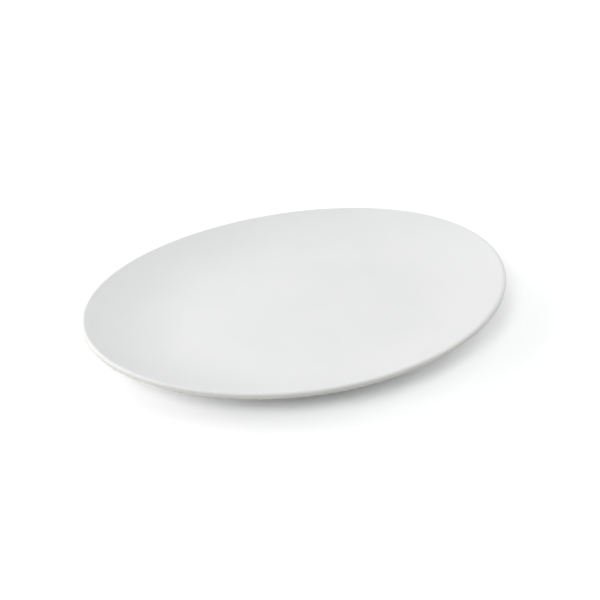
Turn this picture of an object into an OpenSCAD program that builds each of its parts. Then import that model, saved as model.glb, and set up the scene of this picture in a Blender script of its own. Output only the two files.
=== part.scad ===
// Oval coupe serving platter in white glazed stoneware.
// The face runs from a flat middle up to a thin rounded lip in one curve, and
// the lip stands a little higher at the two ends than along the sides.
// The origin is on the table, under the middle of the platter.
// +X runs along the length, +Y across the width, +Z is up. Millimetres.

/* [Outline] */
// Overall length, over the lip
platter_l = 360; // [340:2:400]
// Overall width, over the lip
platter_w = 280; // [266:2:310]
// Height of the lip above the table at the middle of the long sides
side_h = 24; // [20:0.5:30]
// How much higher the lip stands at the two ends
end_rise = 4.6; // [0:0.1:8]

/* [Wall] */
// Thickness of the rim, with its glaze
lip_t = 4.8; // [3.5:0.1:5.5]
// Thickness of the floor, with its glaze
floor_t = 5.8; // [5:0.1:7]
// Share of the radius over which the face is flat
flat_share = 0.58; // [0.5:0.01:0.62]
// Curve of the rise from the flat to the lip, where a higher power keeps the floor flatter
rise_power = 2; // [1.8:0.05:2.4]

/* [Foot ring] */
// Length of the ring over its outer side, at its root
foot_l = 200; // [180:2:204]
// Width of the ring over its outer side, at its root
foot_w = 155; // [140:1:160]
// Height of the glazed underside above the table
foot_h = 4.4; // [3:0.1:6]
// Thickness of the ring at its root
foot_t = 6; // [5:0.1:8]
// How far each side of the ring draws in towards the table
foot_draft = 0.6; // [0.2:0.1:1]
// Radius of the sponged edges that meet the table
foot_edge = 1.1; // [0.5:0.1:1.2]

/* [Glaze] */
// Thickness of the glaze
glaze_t = 0.3; // [0.2:0.05:0.5]
// Bare clay left between the glaze and the foot ring
bare = 0.6; // [0.3:0.1:1.5]

/* [Detail] */
// Points around the oval
around = 72; // [48:4:96]
// Rows of points up the face
face_rows = 11; // [8:1:14]
// Rows of points up the underside
under_rows = 8; // [6:1:10]

/* [Hidden] */
$fn = 180;

clay = [0.90, 0.88, 0.84];
white = [0.95, 0.95, 0.94];

// The middle surface of the wall, whose edge is the centre line of the lip
lip_r = lip_t / 2;
mid_a = platter_l / 2 - lip_r;
mid_b = platter_w / 2 - lip_r;
mid_z = foot_h + floor_t / 2;
mid_h = side_h - lip_r - mid_z;

// The foot ring's outer oval, at its root
foot_a = foot_l / 2;
foot_b = foot_w / 2;
foot_top = foot_h + glaze_t;

// The underside is flat past the foot, then rises to meet the lip at the face's own slope
rise_from = max(foot_a / mid_a, foot_b / mid_b) + 0.03;
under_power = rise_power / (1 - flat_share) * (1 - rise_from);

function unit(v) = v / norm(v);
function ease(u) = let (c = min(1, max(0, u))) c * c * (3 - 2 * c);

// Height of the middle surface over its flat part, and its slope, along the radius r from 0 to 1
function lift(r, from, power) = r <= from ? 0 : pow((r - from) / (1 - from), power);
function steep(r, from, power) = r <= from ? 0 : power / (1 - from) * pow((r - from) / (1 - from), power - 1);

// Rise of the wall at the angle t around the oval, and how it changes with t
function wall_h(t) = mid_h + end_rise * pow(cos(t), 2);
function wall_dh(t) = -2 * end_rise * cos(t) * sin(t);

function mid(r, t, from, power) =
    [r * mid_a * cos(t), r * mid_b * sin(t), mid_z + wall_h(t) * lift(r, from, power)];
function normal(r, t, from, power) =
    let (w = lift(r, from, power), s = steep(r, from, power))
    unit([mid_b * sin(t) * wall_dh(t) * w - r * mid_b * cos(t) * wall_h(t) * s,
          -r * mid_a * sin(t) * wall_h(t) * s - mid_a * cos(t) * wall_dh(t) * w,
          r * mid_a * mid_b]);
function half_t(r, from) = (floor_t + (lip_t - floor_t) * ease((r - from) / (1 - from))) / 2;

// Points on the face, round the lip and on the underside, inset by d from the outer surface
function face_pt(r, t, d) =
    mid(r, t, flat_share, rise_power) + (half_t(r, flat_share) - d) * normal(r, t, flat_share, rise_power);
function under_pt(r, t, d) =
    mid(r, t, rise_from, under_power) - (half_t(r, rise_from) - d) * normal(r, t, rise_from, under_power);
function lip_pt(turn, t, d) =
    let (n = normal(1, t, flat_share, rise_power),
         along = unit([-mid_a * sin(t), mid_b * cos(t), wall_dh(t)]),
         out = cross(along, n))
    mid(1, t, flat_share, rise_power) + (lip_r - d) * (cos(turn) * n + sin(turn) * out);

// Turns around the lip at the angle t, with its highest and its outermost point among them
function lip_turns(t) =
    let (tilt = acos(normal(1, t, flat_share, rise_power)[2]))
    [tilt, tilt + 30, tilt + 60, tilt + 90, (tilt + 270) / 2];
lip_rows = len(lip_turns(0));

// A point of the foot's oval at the angle t, moved out by d
function foot_pt(t, d) = [(foot_a + d) * cos(t), (foot_b + d) * sin(t)];

angles = [for (j = [0 : around - 1]) 360 * j / around];
function face_skin(d) = [for (k = [0 : face_rows]) let (r = flat_share + (1 - flat_share) * k / face_rows)
    [for (t = angles) face_pt(r, t, d)]];
function lip_skin(d) = [for (k = [0 : lip_rows - 1]) [for (t = angles) lip_pt(lip_turns(t)[k], t, d)]];
function under_skin(d) = [for (k = [0 : under_rows]) let (r = rise_from + (1 - rise_from) * pow(1 - k / under_rows, 1.4))
    [for (t = angles) under_pt(r, t, d)]];
function foot_line(d, out) = [for (t = angles) let (p = foot_pt(t, out)) [p[0], p[1], foot_h + d]];

function reversed(list) = [for (i = [len(list) - 1 : -1 : 0]) list[i]];
function joined(rows) = [for (row = rows) for (p = row) p];

// Triangles between rows of points, row after row
function bands(first, last, rows, base) = [for (k = [first : last]) for (j = [0 : around - 1]) for (half = [0, 1])
    let (a = base + k * around, b = base + ((k + 1) % rows) * around, i = (j + 1) % around)
    half == 0 ? [a + j, a + i, b + i] : [a + j, b + i, b + j]];

// A solid whose skin runs from one pole, over the rows, to the other pole
module poled(from, rows, to) {
    n = len(rows);
    last = 1 + (n - 1) * around;
    polyhedron(
        points = concat([from], joined(rows), [to]),
        faces = concat(
            [for (j = [0 : around - 1]) [0, 1 + (j + 1) % around, 1 + j]],
            bands(0, n - 2, n, 1),
            [for (j = [0 : around - 1]) [last + j, last + (j + 1) % around, 1 + n * around]]));
}

// A closed band whose skin runs over the rows and back to the first
module looped(rows) {
    n = len(rows);
    polyhedron(points = joined(rows), faces = bands(0, n - 1, n, 0));
}

// A tapered oval plug, from below the table to above the root. Its side draws in
// by foot_draft from the root to the sponged edge, and the edge runs on through
// the table in three slopes. With way = 1 the side faces out, with -1 it faces in.
module oval_plug(a, b, way) {
    e = foot_edge;
    side = [[0, foot_top + 1], [0, foot_top], [foot_draft, e], [foot_draft + 0.13 * e, 0.5 * e],
            [foot_draft + 0.5 * e, 0.13 * e], [foot_draft + 1.0 * e, 0], [foot_draft + 2.0 * e, -0.26 * e]];
    scale([a / b, 1, 1]) rotate_extrude()
        polygon(concat([[0, foot_top + 1]], [for (p = side) [b - way * p[0], p[1]]], [[0, -0.26 * e]]));
}

module platter_body() {
    color(clay) poled(
        [0, 0, mid_z + floor_t / 2 - glaze_t],
        concat(face_skin(glaze_t), lip_skin(glaze_t), under_skin(glaze_t)),
        [0, 0, foot_h + glaze_t]);
}

module foot_ring() {
    color(clay) difference() {
        intersection() {
            oval_plug(foot_a, foot_b, 1);
            translate([-foot_l, -foot_w, 0]) cube([2 * foot_l, 2 * foot_w, foot_top]);
        }
        oval_plug(foot_a - foot_t, foot_b - foot_t, -1);
    }
}

module face_glaze() {
    outer = concat(face_skin(0), lip_skin(0), [under_skin(0)[0]]);
    inner = concat(face_skin(glaze_t), lip_skin(glaze_t), [under_skin(glaze_t)[0]]);
    color(white) poled(
        [0, 0, mid_z + floor_t / 2],
        concat(outer, reversed(inner)),
        [0, 0, mid_z + floor_t / 2 - glaze_t]);
}

module underside_glaze() {
    outer = concat(under_skin(0), [foot_line(0, bare)]);
    inner = concat(under_skin(glaze_t), [foot_line(glaze_t, bare)]);
    color(white) looped(concat(outer, reversed(inner)));
}

module recess_glaze() {
    color(white) translate([0, 0, foot_h]) linear_extrude(height = glaze_t)
        polygon([for (t = angles) foot_pt(t, -foot_t - bare)]);
}

platter_body();
foot_ring();
face_glaze();
underside_glaze();
recess_glaze();
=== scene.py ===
"""Looks of the oval serving platter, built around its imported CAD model.

The platter's sizes are repeated from the CAD source, in millimetres, and the
meshes come out in metres in the same frame. Every piece stands for one CAD
node and rides on the only body, root.
"""

import math

import bpy
import numpy as np
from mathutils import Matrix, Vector


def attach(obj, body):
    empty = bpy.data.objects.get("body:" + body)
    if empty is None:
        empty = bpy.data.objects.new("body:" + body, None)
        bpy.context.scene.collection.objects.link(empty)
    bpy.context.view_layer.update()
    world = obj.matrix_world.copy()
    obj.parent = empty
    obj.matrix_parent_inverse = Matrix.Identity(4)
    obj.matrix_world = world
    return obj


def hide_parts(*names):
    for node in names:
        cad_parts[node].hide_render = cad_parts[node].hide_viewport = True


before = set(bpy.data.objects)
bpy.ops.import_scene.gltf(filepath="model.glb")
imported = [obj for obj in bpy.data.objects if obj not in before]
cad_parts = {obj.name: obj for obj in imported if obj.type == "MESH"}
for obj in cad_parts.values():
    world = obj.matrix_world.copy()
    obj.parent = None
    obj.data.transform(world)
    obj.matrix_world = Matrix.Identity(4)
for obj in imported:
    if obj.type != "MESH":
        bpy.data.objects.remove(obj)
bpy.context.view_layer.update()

scene = bpy.context.scene

# ---------------------------------------------------------------- sizes, mm

PLATTER_L, PLATTER_W = 360.0, 280.0
SIDE_H, END_RISE = 24.0, 4.6
LIP_T, FLOOR_T = 4.8, 5.8
FLAT, POWER = 0.58, 2.0
FOOT_L, FOOT_W, FOOT_H, FOOT_T = 200.0, 155.0, 4.4, 6.0
FOOT_DRAFT, FOOT_EDGE = 0.6, 1.1
GLAZE_T, BARE = 0.3, 0.6

LIP_R = LIP_T / 2
MID_A, MID_B = PLATTER_L / 2 - LIP_R, PLATTER_W / 2 - LIP_R
MID_Z = FOOT_H + FLOOR_T / 2
MID_H = SIDE_H - LIP_R - MID_Z
FOOT_A, FOOT_B = FOOT_L / 2, FOOT_W / 2
FOOT_TOP = FOOT_H + GLAZE_T
RISE_FROM = max(FOOT_A / MID_A, FOOT_B / MID_B) + 0.03
UNDER_POWER = POWER / (1 - FLAT) * (1 - RISE_FROM)

AROUND = 288
T = np.arange(AROUND) * 2 * math.pi / AROUND
COS, SIN = np.cos(T), np.sin(T)
WALL_H = MID_H + END_RISE * COS**2
WALL_DH = -2 * END_RISE * COS * SIN


# ------------------------------------------------- the platter's own surface


def unit(v):
    return v / np.linalg.norm(v, axis=-1, keepdims=True)


def points(x, y, z):
    """Rows of points from three arrays, or numbers, around the oval."""
    return np.stack([np.broadcast_to(np.asarray(c, float), T.shape) for c in (x, y, z)], -1)


def middle(r, start, power):
    """The wall's middle surface at the share r of its radius, and its normal."""
    u = max(0.0, (r - start) / (1 - start))
    lift = u**power
    steep = power / (1 - start) * u ** (power - 1)
    at = points(r * MID_A * COS, r * MID_B * SIN, MID_Z + WALL_H * lift)
    normal = points(
        MID_B * SIN * WALL_DH * lift - r * MID_B * COS * WALL_H * steep,
        -r * MID_A * SIN * WALL_H * steep - MID_A * COS * WALL_DH * lift,
        r * MID_A * MID_B,
    )
    return at, unit(normal)


def half_thickness(r, start):
    u = min(1.0, max(0.0, (r - start) / (1 - start)))
    return (FLOOR_T + (LIP_T - FLOOR_T) * u * u * (3 - 2 * u)) / 2


def face_row(r, inset):
    at, normal = middle(r, FLAT, POWER)
    return at + (half_thickness(r, FLAT) - inset) * normal


def under_row(r, inset):
    at, normal = middle(r, RISE_FROM, UNDER_POWER)
    return at - (half_thickness(r, RISE_FROM) - inset) * normal


def lip_row(turn, inset):
    """A line along the lip, turned from the face (0) round to the underside (pi)."""
    at, normal = middle(1.0, FLAT, POWER)
    out = np.cross(unit(points(-MID_A * SIN, MID_B * COS, WALL_DH)), normal)
    return at + (LIP_R - inset) * (math.cos(turn) * normal + math.sin(turn) * out)


def foot_row(offset, z):
    """A line around the foot's oval, moved out by the offset, which may vary along it."""
    return points((FOOT_A + offset) * COS, (FOOT_B + offset) * SIN, z)


def wobble(first, last, seed):
    """An uneven line around the oval, between about -1 and 1."""
    numbers = np.random.RandomState(seed)
    waves = np.arange(first, last)
    height = numbers.uniform(0.4, 1.0, len(waves)) * (first / waves) ** 0.5
    phase = numbers.uniform(0, 2 * math.pi, len(waves))
    line = (height[:, None] * np.sin(waves[:, None] * T + phase[:, None])).sum(0)
    return line / np.abs(line).max()


# ---------------------------------------------------------------- mesh code


def skin(name, rows, first=None, last=None, loop=False, sharp=(), thin=None):
    """A closed smooth mesh through the rows, from a pole to a pole or round in a loop.

    sharp lists the rows whose line stays a crisp edge. The row-by-row shares, given after sharp, set how much of a
    darker warm colour the material lays there: glaze lying thinner by the foot, and painted shade on the lip's outer
    side.
    """
    count = len(rows)
    corners = [tuple(p) for row in rows for p in row / 1000.0]
    share = [float(v) for row in (thin or [0.0] * count) for v in np.broadcast_to(row, T.shape)]
    faces = []
    for k in range(count if loop else count - 1):
        a, b = k * AROUND, ((k + 1) % count) * AROUND
        for j in range(AROUND):
            i = (j + 1) % AROUND
            faces.append((a + j, b + j, b + i, a + i))
    if first is not None:
        pole = len(corners)
        corners.append(tuple(np.array(first) / 1000.0))
        share.append(0.0)
        faces += [(pole, j, (j + 1) % AROUND) for j in range(AROUND)]
    if last is not None:
        pole, base = len(corners), (count - 1) * AROUND
        corners.append(tuple(np.array(last) / 1000.0))
        share.append(0.0)
        faces += [(pole, base + (j + 1) % AROUND, base + j) for j in range(AROUND)]
    mesh = bpy.data.meshes.new(name)
    mesh.from_pydata(corners, [], faces)
    mesh.update()
    mesh.polygons.foreach_set("use_smooth", [True] * len(mesh.polygons))
    crisp = set(sharp)
    for edge in mesh.edges:
        v, w = edge.vertices
        if v // AROUND == w // AROUND and v // AROUND in crisp:
            edge.use_edge_sharp = True
    if thin is not None:
        layer = mesh.attributes.new("thin", "FLOAT", "POINT")
        layer.data.foreach_set("value", share)
    piece = bpy.data.objects.new(name, mesh)
    scene.collection.objects.link(piece)
    return piece


# Radii of the rows, closer together where the surface turns
FACE_R = [FLAT * s for s in (0.12, 0.25, 0.38, 0.5, 0.62, 0.74, 0.85, 0.93)] + [FLAT + (1 - FLAT) * (k / 34) for k in range(35)]
LIP_TURNS = [math.pi * k / 18 for k in range(1, 18)]
UNDER_R = [RISE_FROM + (1 - RISE_FROM) * (1 - k / 26) ** 1.25 for k in range(27)]


def face_rows(inset):
    return [face_row(r, inset) for r in FACE_R]


def lip_rows(inset):
    return [lip_row(turn, inset) for turn in LIP_TURNS]


def under_rows(inset):
    return [under_row(r, inset) for r in UNDER_R]


# The clay body. Only the strips beside the foot ring show; the glaze covers the rest.
floor_shares = [0.97, 0.94, 0.90, 0.84, 0.7, 0.5, 0.3, 0.12]
body_floor = [points(s * RISE_FROM * MID_A * COS, s * RISE_FROM * MID_B * SIN, FOOT_TOP) for s in floor_shares]
body = skin(
    "clay_body",
    face_rows(GLAZE_T) + lip_rows(GLAZE_T) + under_rows(GLAZE_T) + body_floor,
    first=(0, 0, MID_Z + FLOOR_T / 2 - GLAZE_T),
    last=(0, 0, FOOT_TOP),
)

# The face's glaze, over the lip to the underside. Over the lip's outer side its colour turns darker and warmer: partly
# glaze breaking thinner there, partly painted shade.
face_outer = face_rows(0) + lip_rows(0) + [under_row(1.0, 0)]
face_inner = (face_rows(GLAZE_T) + lip_rows(GLAZE_T) + [under_row(1.0, GLAZE_T)])[::-1]
# Over the lip's outer side this share paints shade as well as thinner glaze.
face_thin = (
    [0.0 for r in FACE_R]
    + [min(1.0, max(0.0, turn - 0.75)) for turn in LIP_TURNS]
    + [1.0]
)
face_glaze = skin(
    "glaze_face",
    face_outer + face_inner,
    first=(0, 0, MID_Z + FLOOR_T / 2),
    last=(0, 0, MID_Z + FLOOR_T / 2 - GLAZE_T),
    sharp=(len(face_outer) - 1, len(face_outer)),
    thin=face_thin + face_thin[::-1],
)

# Distances from a glaze's edge beside the foot, and how deep the glaze is there:
# it rises in a round bead and settles to its even thickness.
EDGE = [2.6, 2.0, 1.5, 1.15, 0.85, 0.6, 0.42, 0.28, 0.17, 0.09, 0.03, 0.0]


def bead(s):
    rise = math.sqrt(max(0.0, 1 - (1 - min(1.0, s / 0.4)) ** 2))
    return rise * (GLAZE_T + 0.1 * math.exp(-(((s - 0.75) / 0.5) ** 2)))


# The underside's glaze, from the lip to an uneven edge just outside the foot ring
under_edge = BARE + 0.22 * wobble(4, 46, 11)
under_outer = under_rows(0) + [foot_row(under_edge + s, FOOT_TOP - bead(s)) for s in EDGE]
under_inner = [foot_row(under_edge + s, FOOT_TOP) for s in EDGE[-2::-3]] + under_rows(GLAZE_T)[::-1]
# Next to the lip the darker colour goes on as painted shade; by the foot it is the glaze thinning at its edge.
under_thin = [max(0.0, (r - 0.95) / 0.05) for r in UNDER_R] + [0.9 * math.exp(-s / 0.35) for s in EDGE]
under_glaze = skin(
    "glaze_underside",
    under_outer + under_inner,
    loop=True,
    sharp=(0, len(under_outer) - 1, len(under_outer) + len(under_inner) - 1),
    thin=under_thin + [0.0] * len(under_inner),
)

# The glaze on the patch inside the foot ring
recess_edge = -(FOOT_T + BARE) - 0.22 * wobble(4, 46, 23)
recess_shares = [0.06, 0.18, 0.32, 0.46, 0.6, 0.72, 0.82, 0.9, 0.95]
recess_low = [points(s * (FOOT_A - 9.5) * COS, s * (FOOT_B - 9.5) * SIN, FOOT_H) for s in recess_shares]
recess_low += [foot_row(recess_edge - s, FOOT_TOP - bead(s)) for s in EDGE]
recess_high = [foot_row(recess_edge - s, FOOT_TOP) for s in EDGE[-2::-3]]
recess_high += [points(s * (FOOT_A - 9.5) * COS, s * (FOOT_B - 9.5) * SIN, FOOT_TOP) for s in recess_shares[::-2]]
recess_rows = (recess_low + recess_high)[::-1]
recess_glaze = skin(
    "glaze_recess",
    recess_rows,
    first=(0, 0, FOOT_TOP),
    last=(0, 0, FOOT_H),
    sharp=(len(recess_high),),
    thin=[0.0] * len(recess_high) + [0.9 * math.exp(-s / 0.35) for s in EDGE[::-1]] + [0.0] * len(recess_shares),
)

# The foot ring: bare clay, sponged round at its standing edges, with a small
# luted cove where it joins the floor. Offsets run in from its outer oval.
uneven = wobble(3, 30, 5)
ripple = wobble(24, 70, 7)
quarter = [math.radians(a) for a in (0, 15, 30, 45, 60, 75, 90)]
outer_side = [(-0.34, FOOT_TOP), (-0.17, 4.52), (-0.05, 4.3), (0.0, 4.0), (0.17, 3.2), (0.36, 2.2), (0.5, 1.5)]
outer_edge = [
    (FOOT_DRAFT + FOOT_EDGE * (1 - math.cos(a)), FOOT_EDGE * (1 - math.sin(a))) for a in quarter
]
stand = [(FOOT_DRAFT + FOOT_EDGE + 0.65 * k, 0.0) for k in (1, 2, 3)]
half_section = outer_side + outer_edge
section = half_section + stand + [(FOOT_T - o, z) for o, z in half_section[::-1]]
ring_rows = []
for offset, z in section:
    side = min(1.0, z / 1.0) if z < FOOT_TOP else 0.0
    way = 1.0 if offset < FOOT_T / 2 else -1.0
    worn = 0.07 * uneven + 0.025 * ripple * (1.0 - abs(z - 1.6) / 4.0)
    ring_rows.append(foot_row(-offset - way * (0.07 + worn) * side, z))
ring = skin("foot_ring_clay", ring_rows[::-1], loop=True, sharp=(0, len(ring_rows) - 1))


# ---------------------------------------------------------------- materials


def material(name):
    made = bpy.data.materials.new(name)
    made.use_nodes = True
    return made, made.node_tree, made.node_tree.nodes["Principled BSDF"]


def add(tree, kind, **settings):
    node = tree.nodes.new(kind)
    for key, value in settings.items():
        setattr(node, key, value)
    return node


def noise(tree, coords, scale, detail, rough=0.5):
    node = add(tree, "ShaderNodeTexNoise")
    node.inputs["Scale"].default_value = scale
    node.inputs["Detail"].default_value = detail
    node.inputs["Roughness"].default_value = rough
    tree.links.new(coords, node.inputs["Vector"])
    return node.outputs["Fac"]


def remap(tree, value, low, high, to_low, to_high):
    node = add(tree, "ShaderNodeMapRange", clamp=True)
    for socket, number in zip(("From Min", "From Max", "To Min", "To Max"), (low, high, to_low, to_high)):
        node.inputs[socket].default_value = number
    tree.links.new(value, node.inputs["Value"])
    return node.outputs["Result"]


def blend_colour(tree, share, a, b):
    """A mix of two colours, each a socket or three numbers."""
    node = add(tree, "ShaderNodeMix", data_type="RGBA")
    tree.links.new(share, node.inputs["Factor"])
    for socket, colour in ((node.inputs[6], a), (node.inputs[7], b)):
        if isinstance(colour, tuple):
            socket.default_value = (*colour, 1.0)
        else:
            tree.links.new(colour, socket)
    return node.outputs[2]


def bump(tree, height, strength, distance, under=None):
    node = add(tree, "ShaderNodeBump")
    node.inputs["Strength"].default_value = strength
    node.inputs["Distance"].default_value = distance
    tree.links.new(height, node.inputs["Height"])
    if under is not None:
        tree.links.new(under, node.inputs["Normal"])
    return node.outputs["Normal"]


def make_glaze():
    """Satin white glaze: faint clouding, a soft uneven gloss, and a darker warm colour that is the glaze lying thinner
    by the foot and painted shade on the lip's outer side.
    """
    made, tree, shader = material("satin_white_glaze")
    coords = add(tree, "ShaderNodeTexCoord").outputs["Object"]
    thin = add(tree, "ShaderNodeAttribute", attribute_name="thin").outputs["Fac"]
    cloud = remap(tree, noise(tree, coords, 26.0, 2.0), 0.3, 0.7, 0.0, 1.0)
    white = blend_colour(tree, cloud, (0.694, 0.698, 0.697), (0.708, 0.710, 0.709))
    # Darker warm colour: thinner glaze by the foot, and painted shade on the lip's outer side.
    tree.links.new(blend_colour(tree, thin, white, (0.500, 0.491, 0.466)), shader.inputs["Base Color"])
    tree.links.new(remap(tree, noise(tree, coords, 140.0, 3.0), 0.3, 0.7, 0.50, 0.58), shader.inputs["Roughness"])
    shader.inputs["IOR"].default_value = 1.5
    shader.inputs["Specular IOR Level"].default_value = 0.12
    waves = bump(tree, noise(tree, coords, 60.0, 1.0), 0.2, 0.0002)
    tree.links.new(bump(tree, noise(tree, coords, 900.0, 2.0), 0.12, 0.00005, waves), shader.inputs["Normal"])
    return made


def make_clay():
    """Bare fired clay: mottled buff with a sandy grain and a few iron specks."""
    made, tree, shader = material("bare_fired_clay")
    coords = add(tree, "ShaderNodeTexCoord").outputs["Object"]
    mottle = remap(tree, noise(tree, coords, 90.0, 3.0), 0.3, 0.7, 0.0, 1.0)
    grain = noise(tree, coords, 1500.0, 3.0, 0.65)
    buff = blend_colour(tree, mottle, (0.640, 0.590, 0.515), (0.720, 0.680, 0.610))
    sandy = blend_colour(tree, remap(tree, grain, 0.35, 0.65, 0.0, 0.55), buff, (0.780, 0.750, 0.690))
    cells = add(tree, "ShaderNodeTexVoronoi")
    cells.inputs["Scale"].default_value = 420.0
    tree.links.new(coords, cells.inputs["Vector"])
    specks = remap(tree, cells.outputs["Distance"], 0.08, 0.16, 0.7, 0.0)
    tree.links.new(blend_colour(tree, specks, sandy, (0.300, 0.230, 0.170)), shader.inputs["Base Color"])
    tree.links.new(remap(tree, grain, 0.3, 0.7, 0.82, 0.96), shader.inputs["Roughness"])
    shader.inputs["Specular IOR Level"].default_value = 0.3
    tree.links.new(bump(tree, grain, 0.5, 0.00012), shader.inputs["Normal"])
    return made


FLOOR_WHITE, FLOOR_GLOW = 0.97, 0.027


def make_floor():
    """The plain white studio floor."""
    made, tree, shader = material("studio_floor")
    shader.inputs["Base Color"].default_value = (FLOOR_WHITE, FLOOR_WHITE, FLOOR_WHITE, 1.0)
    shader.inputs["Roughness"].default_value = 1.0
    shader.inputs["Specular IOR Level"].default_value = 0.0
    shader.inputs["Emission Color"].default_value = (1.0, 1.0, 1.0, 1.0)
    shader.inputs["Emission Strength"].default_value = FLOOR_GLOW
    return made


glaze, clay = make_glaze(), make_clay()
for piece, finish, slot, node in (
    (body, clay, "clay", "platter_body"),
    (ring, clay, "clay", "foot_ring"),
    (face_glaze, glaze, "glaze", "face_glaze"),
    (under_glaze, glaze, "glaze", "underside_glaze"),
    (recess_glaze, glaze, "glaze", "recess_glaze"),
):
    piece.data.materials.append(finish)
    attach(piece, "root")
    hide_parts(node)

# ------------------------------------------------------ floor, light, camera

floor_mesh = bpy.data.meshes.new("floor")
floor_mesh.from_pydata([(-30, -30, 0), (30, -30, 0), (30, 30, 0), (-30, 30, 0)], [], [(0, 1, 2, 3)])
floor = bpy.data.objects.new("floor", floor_mesh)
floor_mesh.materials.append(make_floor())
scene.collection.objects.link(floor)

# The camera stands at the photograph's angle, left of the platter's front
CAM_AZ, CAM_EL, CAM_AWAY = math.radians(34.595), math.radians(28.821), 1.44
target = Vector((0, 0, (SIDE_H - LIP_R) / 1000.0))
camera = bpy.data.objects.new("camera", bpy.data.cameras.new("camera"))
camera.location = target + CAM_AWAY * Vector(
    (-math.sin(CAM_AZ) * math.cos(CAM_EL), -math.cos(CAM_AZ) * math.cos(CAM_EL), math.sin(CAM_EL))
)
camera.rotation_euler = (target - camera.location).to_track_quat("-Z", "Y").to_euler()
camera.data.sensor_width = 36.0
camera.data.lens = 108.716
camera.data.shift_x, camera.data.shift_y = 0.00325, -0.0051
scene.collection.objects.link(camera)
scene.camera = camera

# Broad soft lamps. The angle runs round from the picture's right (0) by the back
# (90) and the left (180) to the front (270), and the height is above the floor,
# both in degrees. A far lamp then has its breadth in degrees, and a near lamp its
# distance and its breadth in metres. The last two are its strength and its colour.
FAR_LAMPS = (
    ("right_mid", 0, 22, 24, 0.143, (0.980, 1.000, 0.993)),
    ("right_back_mid", 30, 22, 24, 0.060, (0.995, 1.000, 0.998)),
    ("left_front_mid", 210, 22, 24, 0.103, (1.001, 1.000, 1.000)),
    ("right_high", 0, 42, 24, 0.064, (0.991, 1.000, 0.997)),
    ("right_back_high", 30, 42, 24, 0.071, (0.993, 1.000, 0.998)),
    ("back_high", 90, 42, 24, 0.055, (1.002, 1.000, 1.000)),
    ("front_left_high", 240, 42, 24, 0.266, (0.977, 1.000, 0.992)),
    ("front_high", 270, 42, 24, 0.101, (0.986, 1.000, 0.995)),
    ("back_left_higher", 120, 62, 40, 0.108, (1.000, 1.000, 0.999)),
    ("front_right_higher", 300, 62, 40, 0.120, (0.982, 1.000, 0.994)),
    ("right_over", 0, 87, 44, 0.116, (0.989, 1.000, 0.996)),
    ("back_right_mid", 45, 20, 44, 0.244, (0.989, 1.000, 0.996)),
    ("back_left_mid", 120, 22, 24, 0.143, (1.018, 1.000, 1.005)),
    ("left_back_mid", 150, 22, 24, 0.193, (1.023, 1.000, 1.006)),
)
NEAR_LAMPS = (
    ("near_left_low", 180, 15, 0.9, 0.32, 0.332, (1.018, 1.000, 1.004)),
    ("near_left_front_low", 210, 15, 0.9, 0.32, 0.204, (1.000, 1.000, 0.999)),
    ("near_right_front_mid", 330, 30, 0.9, 0.32, 0.057, (0.995, 1.000, 0.998)),
)


def toward(around, height):
    a, h = math.radians(around) - CAM_AZ, math.radians(height)
    return Vector((math.cos(a) * math.cos(h), math.sin(a) * math.cos(h), math.sin(h)))


def hang(name, kind, way, away, colour, energy):
    lamp = bpy.data.objects.new(name, bpy.data.lights.new(name, kind))
    lamp.data.energy, lamp.data.color = energy, colour
    lamp.location = away * way
    lamp.rotation_euler = (-way).to_track_quat("-Z", "Y").to_euler()
    lamp.visible_camera = False
    scene.collection.objects.link(lamp)
    return lamp.data


for name, around, height, breadth, strength, colour in FAR_LAMPS:
    lamp = hang(name, "SUN", toward(around, height), 3.0, colour, strength * math.pi)
    lamp.angle = math.radians(breadth)
for name, around, height, away, breadth, strength, colour in NEAR_LAMPS:
    lamp = hang(name, "AREA", toward(around, height), away, colour, strength * (math.pi * away) ** 2)
    lamp.shape, lamp.size = "DISK", breadth

# The studio's walls, as white as the far floor, so that low views show no horizon. They are far off and light nothing.
world = bpy.data.worlds.new("studio")
world.use_nodes = True
far_floor = [
    FLOOR_WHITE * sum(row[4] * math.sin(math.radians(row[2])) * row[5][k] for row in FAR_LAMPS) + FLOOR_GLOW for k in range(3)
]
world.node_tree.nodes["Background"].inputs["Color"].default_value = (*far_floor, 1.0)
scene.world = world
for ray in ("diffuse", "glossy", "transmission", "scatter"):
    setattr(world.cycles_visibility, ray, False)

scene.view_settings.view_transform = "Standard"
